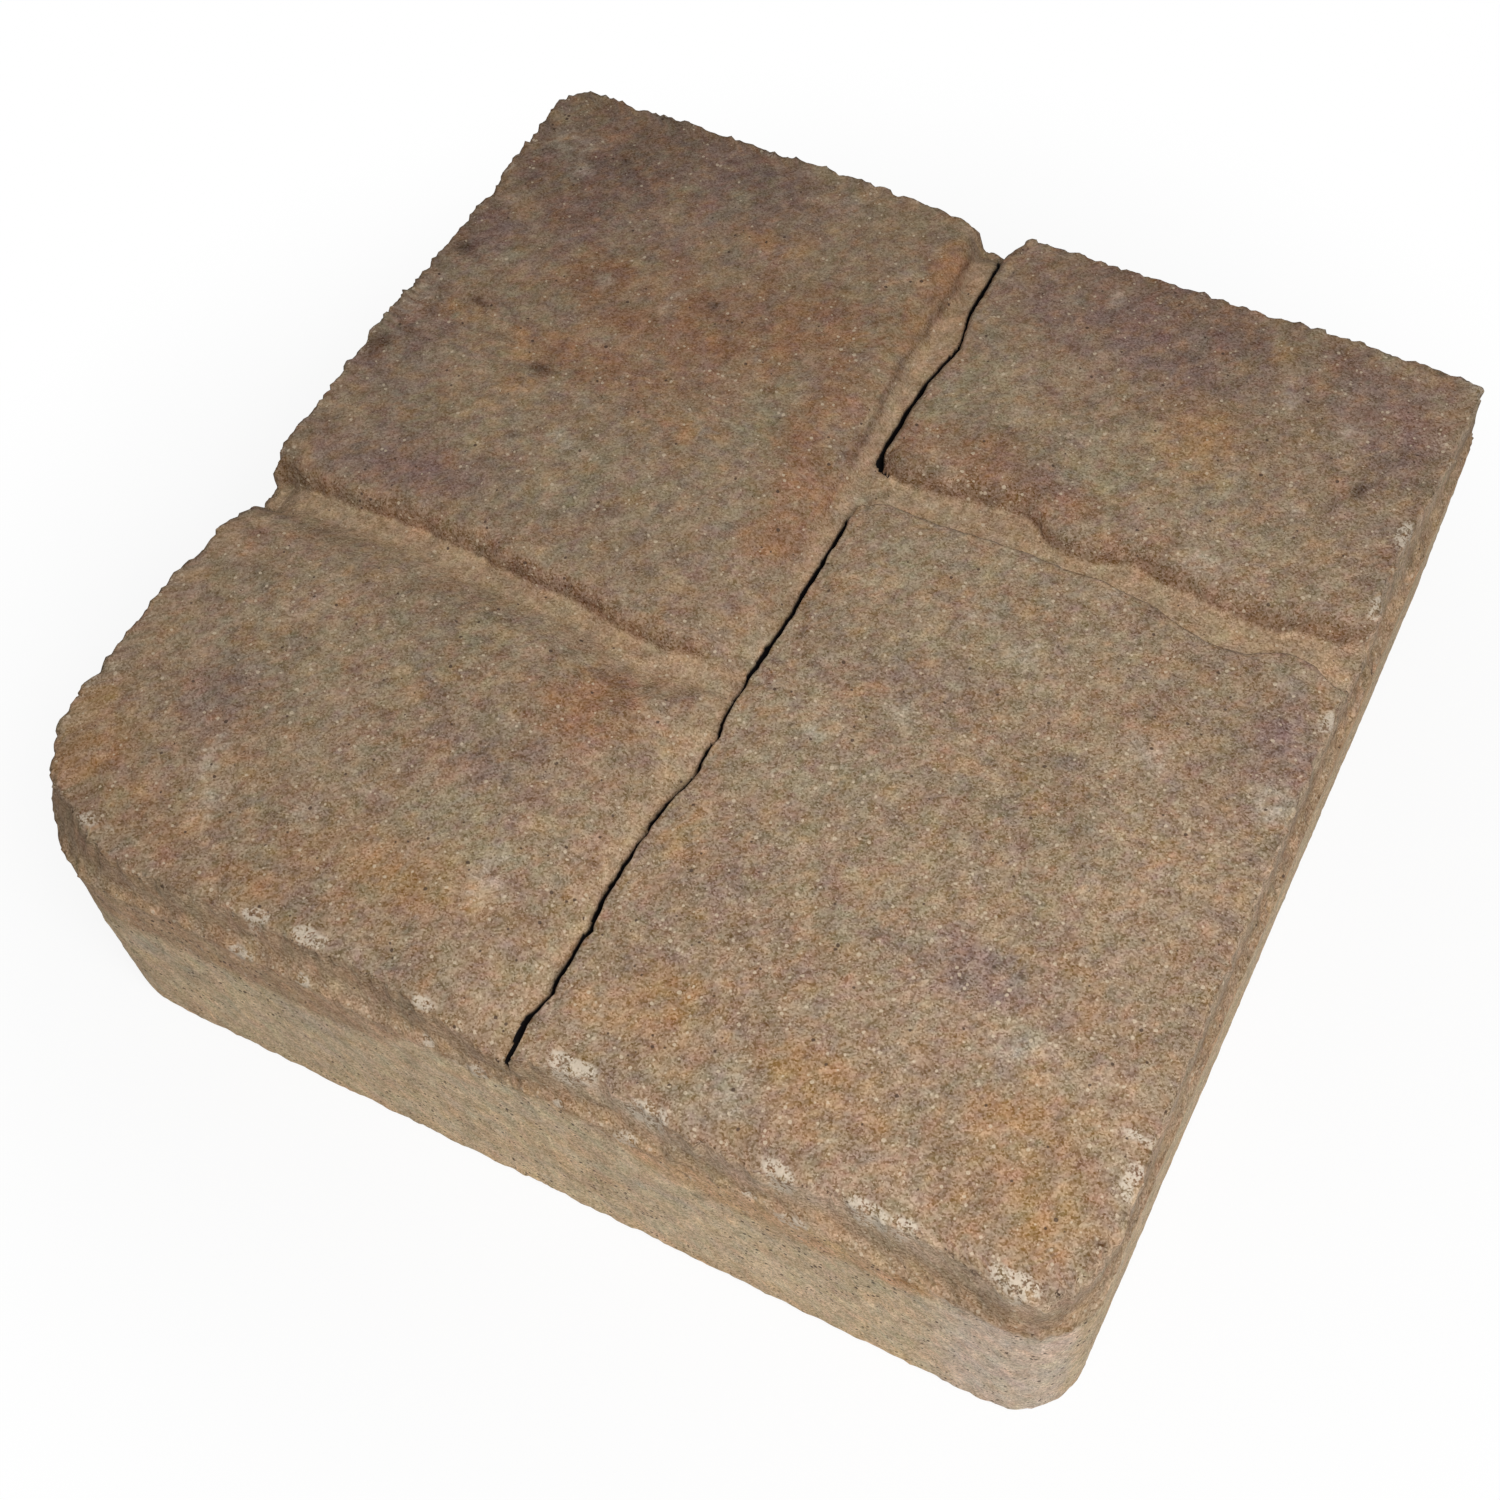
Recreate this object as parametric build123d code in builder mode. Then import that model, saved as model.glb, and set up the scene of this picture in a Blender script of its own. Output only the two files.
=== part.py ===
"""A cast concrete paving slab whose face is moulded as four cobbles."""

import os

from build123d import *

# Driving dimensions, in millimetres. +X is right, +Y is back, +Z is up.
# The origin is at the middle of the underside.
side = 230.0  # plan of the slab, square, at the seam
thickness = 64.0  # underside to the top of the cobbles
face_depth = 13.0  # the moulded face, from the seam up to the top
rim_inset = 3.0  # the bevel leans in this far between the seam and the top
rim_radius = 2.5  # worn outer rim of the cobbles
base_radius = 1.5  # worn lower edge of the slab

# Plan corners, each worn by its own amount
corner_back_left = 7.0
corner_back_right = 5.0
corner_front_left = 23.0
corner_front_right = 14.0

# Joints between the cobbles. Each has a crisp bank on its right or back side, a flat floor,
# and on the other side a bank that slopes more gently.
joint_depth = 5.5
joint_width = 4.5  # across the floor
crisp_run = 1.4  # a crisp bank leans back this far below its lip
lip = 0.9  # worn lip along a crisp bank
shoulder_run = 14.0  # slope of the front left cobble's soft shoulders
right_shoulder_run = 3.0  # slope of the front right cobble's shoulder
back_bank_run = 8.0  # slope of the back left cobble's bank along the main joint

# Outer ends of the joints, where they run out over the bevel
mouth_length = 14.0  # the floor dips over this length
front_mouth_depth = 9.0
back_mouth_depth = 11.0
left_mouth_depth = 11.0
back_mouth_spread = 6.0  # the crisp bank leans back this much more at the back end

# Foot of each joint's crisp bank, as (along the joint, across it) points from the middle of the slab.
# The main joint runs from front to back, the cross joints from left to right.
junction_x = 4.8  # the main joint, where the cross joints meet it
main_bends = [
    (-58.0, 3.0),
    (-45.0, junction_x),
    (-22.0, junction_x),
    (35.0, junction_x),
    (44.0, 3.2),
    (62.0, 3.4),
    (75.0, 6.4),
    (87.0, 3.8),
]
left_bends = [(-93.0, -17.4), (-79.0, -15.3), (-48.0, -18.3), (-21.0, -22.0)]
right_bends = [(29.0, 35.6), (42.0, 38.0), (53.0, 35.2), (74.0, 35.2), (84.0, 33.0), (93.0, 33.0)]
left_mouth_y = -13.5  # outer end of the left cross joint
right_mouth_y = 37.0  # outer end of the right cross joint
inner_corner_y = 34.0  # front of the back right cobble, where its inner corner begins
corner_length = 9.0  # that corner is worn off over this length
corner_cut = 5.0  # and by this much

# Values that follow from the sizes above
half = side / 2
seam = thickness - face_depth
inner_reach = half - mouth_length  # the joints bend only inside their mouths
main_line = [(y, x) for y, x in main_bends if abs(y) < inner_reach]
left_line = [(x, y) for x, y in left_bends if abs(x) < inner_reach]
right_line = [(x, y) for x, y in right_bends if abs(x) < inner_reach]
main_floor_x = junction_x - joint_width / 2
overshoot = 2.0  # the joints' cuts stand this far out of the slab, so that they leave no skin


def plan_outline(height, width):
    """Square plan at a height, with its four worn corners."""
    reach = width / 2
    corners = [
        (-reach, reach, corner_back_left),
        (reach, reach, corner_back_right),
        (-reach, -reach, corner_front_left),
        (reach, -reach, corner_front_right),
    ]
    with BuildSketch(Plane.XY.offset(height)) as outline:
        Rectangle(width, width)
        for x, y, radius in corners:
            fillet(outline.vertices().sort_by_distance((x, y))[0], radius)
    return outline.sketch


def joint_section(plane, foot, depth, crisp, slope):
    """Cross-section of a joint: sloping bank, floor, crisp bank and its worn lip."""
    floor = thickness - depth
    top = thickness + overshoot
    low = foot - joint_width
    points = [
        (low - slope * (depth + overshoot) / depth, top),
        (low, floor),
        (foot, floor),
        (foot + crisp, thickness - lip),
        (foot + crisp + lip + overshoot, top),
    ]
    with BuildSketch(plane) as section:
        with BuildLine():
            Polyline(points, close=True)
        make_face()
    return section.sketch


with BuildPart() as paving_slab:
    # Plain body, up to the seam
    extrude(plan_outline(0, side), amount=seam)
    fillet(paving_slab.faces().sort_by(Axis.Z)[0].edges(), base_radius)

    # Bevelled face above the seam, with a worn rim
    loft([plan_outline(seam, side), plan_outline(thickness, side - 2 * rim_inset)], ruled=True)
    fillet(paving_slab.faces().sort_by(Axis.Z)[-1].edges(), rim_radius)

    # Main joint, from front to back: its left bank is soft in front and steeper at the back
    front_x = main_line[0][1]
    back_x = main_line[-1][1]
    front_end = Plane.XZ.offset(half + overshoot)
    back_end = Plane.XZ.offset(-half - overshoot)
    back_crisp = crisp_run + back_mouth_spread
    main_joint = [joint_section(front_end, front_x, front_mouth_depth, crisp_run, shoulder_run)]
    for y, foot in [(-inner_reach, front_x)] + main_line + [(inner_reach, back_x)]:
        bank_run = shoulder_run if y < 0 else back_bank_run
        main_joint.append(joint_section(Plane.XZ.offset(-y), foot, joint_depth, crisp_run, bank_run))
    main_joint.append(joint_section(back_end, back_x, back_mouth_depth, back_crisp, back_bank_run))
    loft(main_joint, ruled=True, mode=Mode.SUBTRACT)

    # Left cross joint, from the left side into the main joint
    left_end = Plane.YZ.offset(-half - overshoot)
    left_joint = [joint_section(left_end, left_mouth_y, left_mouth_depth, crisp_run, shoulder_run)]
    for x, foot in [(-inner_reach, left_line[0][1])] + left_line + [(main_floor_x, left_line[-1][1])]:
        left_joint.append(joint_section(Plane.YZ.offset(x), foot, joint_depth, crisp_run, shoulder_run))
    loft(left_joint, ruled=True, mode=Mode.SUBTRACT)

    # Right cross joint, from the main joint to the right side
    right_start = [
        (main_floor_x, inner_corner_y + corner_cut),
        (junction_x, inner_corner_y + corner_cut),
        (junction_x + corner_length, inner_corner_y),
    ]
    right_joint = []
    for x, foot in right_start + right_line + [(half + overshoot, right_mouth_y)]:
        section = joint_section(Plane.YZ.offset(x), foot, joint_depth, crisp_run, right_shoulder_run)
        right_joint.append(section)
    loft(right_joint, ruled=True, mode=Mode.SUBTRACT)

paving_slab.part.label = "paving_slab"

os.makedirs("parts", exist_ok=True)
export_step(paving_slab.part, "parts/paving_slab.step")
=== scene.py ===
import math

import bpy
import numpy as np
from mathutils import Euler, Matrix, Vector, noise


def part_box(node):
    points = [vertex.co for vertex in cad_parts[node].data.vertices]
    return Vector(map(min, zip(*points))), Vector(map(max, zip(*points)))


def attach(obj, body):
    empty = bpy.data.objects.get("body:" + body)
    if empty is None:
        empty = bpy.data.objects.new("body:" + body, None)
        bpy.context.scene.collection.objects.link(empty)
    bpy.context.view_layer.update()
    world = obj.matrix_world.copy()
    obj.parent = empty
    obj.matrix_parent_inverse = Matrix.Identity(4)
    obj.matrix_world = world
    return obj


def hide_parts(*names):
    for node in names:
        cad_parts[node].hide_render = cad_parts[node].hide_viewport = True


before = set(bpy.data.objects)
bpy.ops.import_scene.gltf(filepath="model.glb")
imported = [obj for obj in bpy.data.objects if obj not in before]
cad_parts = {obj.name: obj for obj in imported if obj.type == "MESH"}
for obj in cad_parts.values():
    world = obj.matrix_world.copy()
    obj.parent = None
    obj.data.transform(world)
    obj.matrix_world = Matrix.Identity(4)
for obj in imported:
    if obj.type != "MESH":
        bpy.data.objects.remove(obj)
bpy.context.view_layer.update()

slabLow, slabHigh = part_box("paving_slab")
mm = 0.001
print("frame loaded, slab box", tuple(slabLow), tuple(slabHigh))

# Shape of the slab, in millimetres from the middle of its underside
slabShape = {
    "half": (slabHigh.x - slabLow.x) / 2 / mm,
    "top": slabHigh.z / mm,
    "skin": 0.2,                  # room that the relief has inside the box
    "gridInset": 5.5,             # the face grid ends here, and the rim rows go on
    "gridGap": 0.4,               # the rim rows keep this far from the grid
    "coarseStep": 1.1,            # between the lines of the face grid
    # closer lines along the joints, as (low, high, step)
    "mainZones": [(1.5, 7.5, 0.34), (-4, 10, 0.62)],
    "crossZones": [(-26, -13, 0.62), (-20, -16, 0.44), (25, 43, 0.62), (26.8, 29.4, 0.34),
                   (36.5, 39.5, 0.44)],
    "rimRound": 1.5,
    "rimFall": 0.1,               # share of its radius that the rim falls before it turns down
    "rimShift": 1.0,              # the rounded rim looks this much further in than it is
    "rimRows": 6,
    "bevelRows": (0.15, 0.32, 0.5, 0.64, 0.76, 0.87, 0.95, 1.0),    # shares of the way down to the seam
    "cove": [(0, 0), (0.06, 0.25), (0.25, 0.66), (0.5, 0.82), (1, 1)],    # (rise, share of the rim's inset)
    "sideRows": 26,
    "sideSpread": 1.25,           # above 1, the rows lie closer together below the seam
    "footRadius": 1.0,
    "footRange": (0.3, 2.4),
    "footRows": 3,
    "faceRows": 7,                # the face's colours run out over this many rows
    "crackRows": 3,
    "bevelFade": (2, 3),          # the bevel's colour begins at this row, and is full so many rows below
    "lipRows": {2: 0.6, 3: 1.0, 4: 0.6},    # rows of the rim with crevices of painted shade
    # worn plan corners, at the rim and below the seam
    "cornerRadii": {(-1, 1): (7, 7), (1, 1): (5, 10), (-1, -1): (33, 27), (1, -1): (12, 14)},
}

# How far the rim lies inside the plain side, and the seam's height, as points along each side
rims = {
    "front": [(-115, 2.0), (-77, 2.2), (-62, 2.9), (-53, 3.7), (-42, 3.4), (-29, 3.7), (-17, 2.7),
              (-5, 1.2), (5, 1.4), (13, 2.6), (22, 3.7), (33, 2.2), (45, 1.4), (57, 1.6), (74, 3.7),
              (84, 3.4), (93, 2.4), (103, 1.2), (115, 1.2)],
    "left": [(-115, 0.8), (-87, 0.4), (-75, 0.6), (-62, 1.1), (-43, 2.9), (-31, 4.4), (-11, 2.4),
             (13, 3.5), (24, 2.5), (51, 4.0), (97, 3.7), (115, 3.4)],
    "back": [(-115, 2.7), (-50, 2.9), (-24, 4.0), (-6, 5.4), (9, 4.5), (25, 4.3), (49, 3.9), (72, 3.8),
             (94, 3.4), (115, 3.2)],
    "right": [(-115, 2.0), (-60, 3.2), (-6, 3.9), (11, 4.0), (24, 3.5), (30, 4.1), (38, 3.5),
              (59, 4.9), (66, 4.8), (85, 3.4), (115, 2.4)],
    "frontSeam": [(-115, 52.0), (-57, 52.8), (-43, 52.8), (-15, 51.4), (-4, 49.6), (15, 52.8),
                  (28, 51.8), (52, 52.6), (60, 51.6), (71, 50.2), (83, 48.4), (100, 47.6),
                  (115, 47.4)],
    "seam": 51.0,
    # lower edge of the brown stain on the front side
    "frontStain": [(-115, 38), (-60, 39), (-40, 40), (-26, 42), (-20, 51), (22, 51), (30, 43),
                   (60, 41), (84, 43), (91, 51), (115, 56)],
}

# Where the photograph was taken from
cameraPlace = (126.19, -225.89, 412.36)

# Joints between the cobbles. The lines are (along, across) points, read off the face.
joints = {
    "depth": 5.2,
    "mouthLength": 12.0,
    "mouthDrop": {"back": 7.2, "left": 5.8, "front": 3.4, "right": 1.4},
    # where the straight grid has the lines, before it is bent to them
    "mainLine": 5.5,
    "leftLine": -18.5,
    "rightLine": 37.5,
    "creaseLine": 28.0,
    # upper left edge of the right cobbles, and the width of the crack beside it, which is deepened and
    # painted near black as a painted shadow
    "rightBank": [(-115, 5.7), (-113, 5.1), (-110, 4.1), (-107, 3.8), (-104, 4.2), (-99.5, 5.1),
                  (-97, 4.8), (-87, 4.6), (-85, 5.1), (-83, 4.6), (-75, 4.1), (-64, 4.3), (-62.5, 4.8),
                  (-61, 4.5), (-54, 5.3), (-51, 6.2), (-46.5, 7.1), (-43, 6.8), (-40, 6.4),
                  (-37.3, 7.1), (-36, 6.4), (-30, 5.9), (-20, 6.0), (-12, 6.2), (-5, 6.8), (0, 6.5),
                  (8, 6.5), (18, 6.8), (22, 6.3), (26, 6.6), (30, 6.0), (36, 5.2), (60, 5.3),
                  (66, 5.9), (70, 6.6), (75.5, 7.8), (80, 6.9), (85, 5.9), (103, 5.6), (106, 6.2),
                  (111, 8.2), (115, 10.5)],
    "crackWidth": [(-115, 0.5), (-104, 0.35), (-100.5, 0.2), (-99, 0.55), (-90, 0.35), (-80, 0.5),
                   (-70, 0.4), (-65, 0.25), (-63, 0), (-60, 0.5), (-56, 0.55), (-53, 0.25),
                   (-49, 0.55), (-47.5, 0), (-46, 0.55), (-42, 0.6), (-39.5, 0.2), (-38.5, 0),
                   (-37, 0.6), (-34, 0.5), (-28, 0.4), (-26.5, 0), (-25, 0.35), (-15, 0.4), (-12.5, 0),
                   (-11, 0.35), (0, 0.4), (15, 0.5), (20, 0.5), (24, 0.3), (28, 0.1), (36, 0.2),
                   (40, 0.5), (44, 0.7), (52, 0.65), (60, 0.5), (68, 0.2), (72, 0.2), (75, 0.45),
                   (80, 0.55), (86, 0.7), (95, 0.7), (103, 0.5), (115, 0.4)],
    # foot of the back left cobble's right bank
    "leftCrease": [(-20, 1.0), (35, -1.0), (45, -1.2), (56, -2.2), (67, -2.8), (81, -2.4), (93, -2.0),
                   (107, -3.2), (115, -3.6)],
    # foot of the back left cobble's front bank
    "leftFoot": [(-115, -12.5), (-110, -16.0), (-105, -17.6), (-95, -17.9), (-83, -16.7), (-74, -16.1),
                 (-65, -16.9), (-58, -17.8), (-46, -18.8), (-34, -19.4), (-29, -20.3), (-25, -21.3),
                 (-20, -21.9), (-14, -21.7), (-8, -20.8), (6, -20.8)],
    # foot of the back right cobble's front bank
    "backFoot": [(0, 38.6), (8, 38.4), (13, 37.9), (19, 38.0), (26, 39.0), (32, 40.2), (37, 40.6),
                 (40, 39.8), (43, 37.0), (46, 35.1), (51, 34.4), (55, 34.8), (59, 36.7), (63, 38.2),
                 (67, 37.2), (72, 36.4), (78, 35.9), (83, 35.1), (93, 34.6), (96, 35.0), (99, 36.8),
                 (108, 38.2), (115, 41.0)],
    # upper back edge of the front right cobble
    "backCrease": [(0, 25.0), (7, 26.2), (8.5, 27.6), (10, 28.4), (13, 28.7), (23, 28.3), (38, 29.2),
                   (52, 28.8), (58, 29.3), (68, 28.2), (73, 27.0), (78, 25.2), (82, 24.3), (87, 23.9),
                   (91, 24.6), (95, 26.6), (98, 28.0), (102, 28.4), (105, 27.5), (108, 25.5),
                   (115, 21.0)],
    "edgeRun": 0.8,               # the right cobbles' left bank leans this far
    "unevenness": (7.0, 1),       # size and seed of the noise in the floors and banks
    "floorWobble": 0.35,
    "cornerRound": 4.5,           # inner corner of the back right cobble
    "cornerZone": 4.0,            # the crack follows that corner from this far in front of it
    "crackDepth": 4.5,            # below the joint's floor
    "crackSpare": [(-115, 0.36), (-30, 0.36), (0, 0.25), (60, 0.12), (115, 0.1)],    # added to its width
    "crackSoft": 0.3,             # width of its soft left edge
    "crackLip": 0.1,              # it ends this far up the right bank
    "crackDark": 0.35,            # and its painted shadow this far
    "crackLeast": 0.05,           # it is left out where less of it is present
    # uneven edges of the lines, as (height, size, seed) of the noise along them
    "wobble": {
        "rightBank": [(0.25, 1.8, 22)],
        "leftFoot": [(0.5, 6, 23), (0.35, 2.2, 24)],
        "backFoot": [(0.4, 6, 25), (0.35, 2.2, 26)],
        "backCrease": [(0.3, 3, 28)],
    },
    # the grid is bent this far around the cross joints and the main joint
    "bendCross": 26.0,
    "bendMain": 30.0,
    "bendHold": 1.35,             # above 1, it follows the lines fully close to them
}

# Profiles of the cobbles' banks, as (distance, depth) points
fullDepth = joints["depth"]
banks = {
    "worn": [(0, 1), (0.5, 0.66), (1.2, 0.38), (2.2, 0.15), (3.8, 0.04), (6.0, 0)],    # shares of the depth
    "wornWobble": 0.25,
    # back right cobble: its left bank is steeper
    "steepness": 3.0,
    "steepZone": 0.4,
    # front right cobble, at its back
    "crispBack": [(-2.5, 0), (-0.6, 0.1), (0.0, 0.35), (0.5, 3.6), (1.2, fullDepth)],
    # back left cobble: height of its front bank along x, and its right shoulder at the back and in front
    "wallHeight": [(-110, 1.0), (-60, 1.0), (-20, 0.9), (-6, 0.6)],
    "firmShoulder": [(-12, 0), (-6, 0.5), (-0.7, 1.7), (0.5, 3.2), (3, 4.9)],
    "softShoulder": [(-20, 0), (-10, 1.0), (0, 3.3), (6, fullDepth)],
    "shoulderSteeper": 2.6,       # at the back end of the main joint
    "creaseWobble": 0.5,
    # front left cobble: its back, its outer back corner and its right shoulder
    "softBack": [(0, fullDepth), (5, 5.0), (9, 3.2), (14, 1.4), (24, 0)],
    "squareBack": [(0, fullDepth), (7.5, fullDepth), (10, 2.0), (13, 0.9), (20, 0)],
    "softRight": [(-19, 0), (-9, 1.0), (-2, 3.3), (3, fullDepth)],
}

# Where the rough banks and the painted shade of the creases show on the face
faceMasks = {
    "wallHold": 1.15,             # above 1, a bank shows fully close to its foot
    "backReach": 4.5,             # back right cobble's front bank
    "backLength": 12.0,
    "backSlope": 1.2,             # it ends at the inner corner, along this slope
    "backStart": 3.0,
    "leftReach": 3.6,             # back left cobble's front bank
    "leftGap": 3.0,
    "leftCrease": (0.2, 0.7),     # middle and width
    "backCrease": (0.1, 0.4),
    "backCreaseShare": 0.7,
}

# Where an effect begins along a distance, and the length over which it grows to its full strength.
# A negative length is for an effect that grows the other way.
fades = {
    "bendLeft": (14, -10),        # bends of the grid, along x
    "bendRight": (-4, 10),
    "steepEnd": (88, 16),         # back left cobble's right shoulder, along y
    "softFront": (40, -36),
    "squareCorner": (-98, -9),    # front left cobble, along x
    "crackBehind": (-0.3, 2.5),   # the crack ends at the right cross joint
    "crackBefore": (0.3, -1.5),
    "crackFront": (-109, 8),      # and is shallow at the front rim
    "leftBank": (-3, -5),         # along x
    "jointFloor": (0.5, 0.4),     # shares of the joint's depth
    "leftCrease": (22, 25),       # along y
    "leftSide": (-100, -10),      # along x
    "frontSide": (-95, -15),      # along y
    "frontRight": (195, 20),      # along x - y
    "wornRim": (0.05, 0.5),       # values of the noise
    "roughRim": (0.25, 0.625),    # shares of the bevel's height
    "seamFoot": (-1.2, 1.2),      # heights above the seam
    "seamTop": (4.2, -2),
    "plainSide": (0.6, -2.2),
    "aboveFoot": (0, 4),          # heights above the underside
}


def lineAt(points, along):
    xs, ys = zip(*points)
    return np.interp(along, xs, ys)


def ease(t):
    t = np.clip(t, 0, 1)
    return t * t * (3 - 2 * t)


def fade(along, name):
    start, length = fades[name]
    return ease((along - start) / length)


def bell(along, middle, width):
    return np.exp(-((along - middle) / width) ** 2)


seedSteps = (17.3, 5.1, 9.7)      # a seed moves the noise this far
octaveStep = 2.0                  # each octave is finer by this


def noiseField(points, size, seed, octaves=3, smooth=0.9):
    shift = Vector([seed * step for step in seedSteps])
    return np.array([noise.fractal(Vector(p) / size + shift, smooth, octaveStep, octaves) for p in points])


def lineNoise(along, size, seed):
    # noise along a line, worked out at every half millimetre
    reach, step = 120, 0.5
    steps = np.arange(-reach, reach + step, step)
    values = noiseField(np.stack([steps, 0 * steps, 0 * steps], 1), size, seed, 2)
    return np.interp(along, steps, values)


def jointLine(name, along):
    line = lineAt(joints[name], along)
    for height, size, seed in joints["wobble"].get(name, []):
        line = line + height * lineNoise(along, size, seed)
    return line


def planPoints(u, v, reach, low=0.0):
    # square parameters to the slab's plan with its worn corners
    x, y = u * reach, v * reach
    for (sx, sy), (rimRadius, sideRadius) in slabShape["cornerRadii"].items():
        radius = rimRadius + (sideRadius - rimRadius) * low
        a = (x * sx - (reach - radius)) / radius
        b = (y * sy - (reach - radius)) / radius
        inside = (a > 0) & (b > 0)
        aa, bb = np.clip(a, 0, 1), np.clip(b, 0, 1)
        px = sx * ((reach - radius) + radius * aa * np.sqrt(1 - bb * bb / 2))
        py = sy * ((reach - radius) + radius * bb * np.sqrt(1 - aa * aa / 2))
        x, y = np.where(inside, px, x), np.where(inside, py, y)
    return x, y


def gridLines(zones):
    # lines across the face, closer together in the zones of (low, high, step)
    reach = slabShape["half"] - slabShape["skin"] - slabShape["gridInset"]
    lines = [-reach]
    while lines[-1] < reach:
        steps = [step for low, high, step in zones if low <= lines[-1] <= high]
        lines.append(lines[-1] + min(steps + [slabShape["coarseStep"]]))
    lines = np.array(lines)
    lines[-1] = reach
    return lines


def bendGrid(s, t):
    # moves the straight grid's lines onto the joints' lines
    def near(distance, reach):
        return ease(joints["bendHold"] - np.abs(distance) / reach)

    main, left = joints["mainLine"], joints["leftLine"]
    crease, foot = joints["creaseLine"], joints["rightLine"]
    cross = joints["bendCross"]
    creaseShift, footShift = jointLine("backCrease", s) - crease, jointLine("backFoot", s) - foot
    share = np.clip((t - crease) / (foot - crease), 0, 1)
    rightShift = creaseShift * (1 - share) * near(np.minimum(t - crease, 0), cross)
    rightShift += footShift * share * near(np.maximum(t - foot, 0), cross)
    leftShift = (jointLine("leftFoot", s) - left) * near(t - left, cross)
    y = t + leftShift * fade(s, "bendLeft") + rightShift * fade(s, "bendRight")
    x = s + near(s - main, joints["bendMain"]) * (jointLine("rightBank", y) - main)
    return x, y


def mouthDrop(x, y):
    # the joints' floors dip towards the sides of the slab
    length, total = joints["mouthLength"], 0
    for name, outward in (("back", y), ("front", -y), ("right", x), ("left", -x)):
        total = total + joints["mouthDrop"][name] * ease((outward - slabShape["half"] + length) / length)
    return total


def wornBank(away, wobble):
    # share of the depth left at a distance from the foot: steep below, worn round at its lip
    return lineAt(banks["worn"], away * (1 - banks["wornWobble"] * wobble))


def faceDepth(s, t, x, y):
    # how far the face lies below the cobbles' tops, and the masks of what is there
    wobble = noiseField(np.stack([x, y, 0 * x], 1), *joints["unevenness"])
    floor = fullDepth + mouthDrop(x, y) + joints["floorWobble"] * wobble
    toRight = s - joints["mainLine"] + joints["edgeRun"]    # from the foot of the right cobbles' left bank
    fromWall = t - joints["rightLine"]                      # behind the back right cobble's front foot
    beyond = t - joints["creaseLine"]                       # behind the front right cobble's back edge
    before = joints["leftLine"] - t                         # in front of the back left cobble's front foot

    # back right cobble, with a rounded inner corner
    turn = joints["cornerRound"]
    sideways, inward = np.clip(turn - toRight, 0, None), np.clip(turn - fromWall, 0, None)
    rounded = turn - np.hypot(sideways, inward)
    fromEdge = np.where((sideways > 0) & (inward > 0), rounded, np.minimum(toRight, fromWall))
    steep = np.where(toRight < banks["steepZone"] * fromWall, banks["steepness"], 1.0)
    backRightDepth = floor * wornBank(fromEdge * steep, wobble)

    # front right cobble, with a crisp back edge
    crispEdge = lineAt(banks["crispBack"], beyond) * floor / fullDepth
    frontRightDepth = np.maximum(crispEdge, floor * (1 - ease(toRight / joints["edgeRun"])))

    # back left cobble: a rough front bank and a soft right shoulder with a crease at its foot
    wallHeight = floor * lineAt(banks["wallHeight"], x)
    frontBank = np.where(before > 0, floor, wallHeight * wornBank(-before, wobble))
    fromCrease = x - jointLine("leftCrease", y) - banks["creaseWobble"] * wobble
    fromCrease = fromCrease * (1 + banks["shoulderSteeper"] * fade(y, "steepEnd"))
    firm, soft = lineAt(banks["firmShoulder"], fromCrease), lineAt(banks["softShoulder"], fromCrease)
    rightShoulder = firm + (soft - firm) * fade(y, "softFront")
    backLeftDepth = np.maximum(frontBank, rightShoulder * floor / fullDepth)

    # front left cobble, soft on both joints and squarer at its outer corner
    softBack, squareBack = lineAt(banks["softBack"], before), lineAt(banks["squareBack"], before)
    backSlope = softBack + (squareBack - softBack) * fade(x, "squareCorner")
    rightSlope = lineAt(banks["softRight"], x)
    frontLeftDepth = np.where(before < 0, floor, np.maximum(backSlope, rightSlope) * floor / fullDepth)

    left = np.minimum(backLeftDepth, frontLeftDepth)
    depth = np.where(toRight > 0, np.minimum(backRightDepth, frontRightDepth), np.minimum(left, floor))

    # crack along the foot of the right cobbles: a deep cleft, painted near black as a painted shadow as
    # wide as it looks from the camera
    seen = floor / (cameraPlace[2] - slabShape["top"] + floor)
    shiftX, seenY = (cameraPlace[0] - x) * seen, y + (cameraPlace[1] - y) * seen
    width = lineAt(joints["crackWidth"], seenY)
    crackLeft = jointLine("rightBank", seenY) - width - lineAt(joints["crackSpare"], seenY) - shiftX
    crackReach = jointLine("rightBank", y) - joints["edgeRun"] - crackLeft
    behind = t > joints["rightLine"] - joints["cornerZone"]
    toEdge = np.where(behind, fromEdge, toRight)
    present = np.where(behind, fade(fromWall, "crackBehind"), fade(beyond, "crackBefore"))
    crackAndShadow = ease((toEdge + crackReach * present) / joints["crackSoft"])
    crackAndShadow = np.where((toEdge < joints["crackLip"]) & (present > joints["crackLeast"]), crackAndShadow, 0)
    depth = depth + joints["crackDepth"] * crackAndShadow * fade(y, "crackFront")

    # masks of the rough banks, the floors, the creases' painted shade and the crack's painted shadow
    show = faceMasks
    onBack = (toRight > 0) & (fromEdge > 0) & (fromWall < show["backLength"])
    onBack = onBack & (toRight >= show["backSlope"] * fromWall - show["backStart"])
    backWall = np.where(onBack, ease(show["wallHold"] - fromEdge / show["backReach"]), 0)
    onLeft = (before < 0) & (toRight < -show["leftGap"])
    leftWall = np.where(onLeft, ease(show["wallHold"] + before / show["leftReach"]), 0)
    wall = np.maximum(backWall, leftWall * fade(x, "leftBank"))
    floorMask = fade(depth / floor, "jointFloor") * (1 - crackAndShadow) * (1 - wall)
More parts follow.
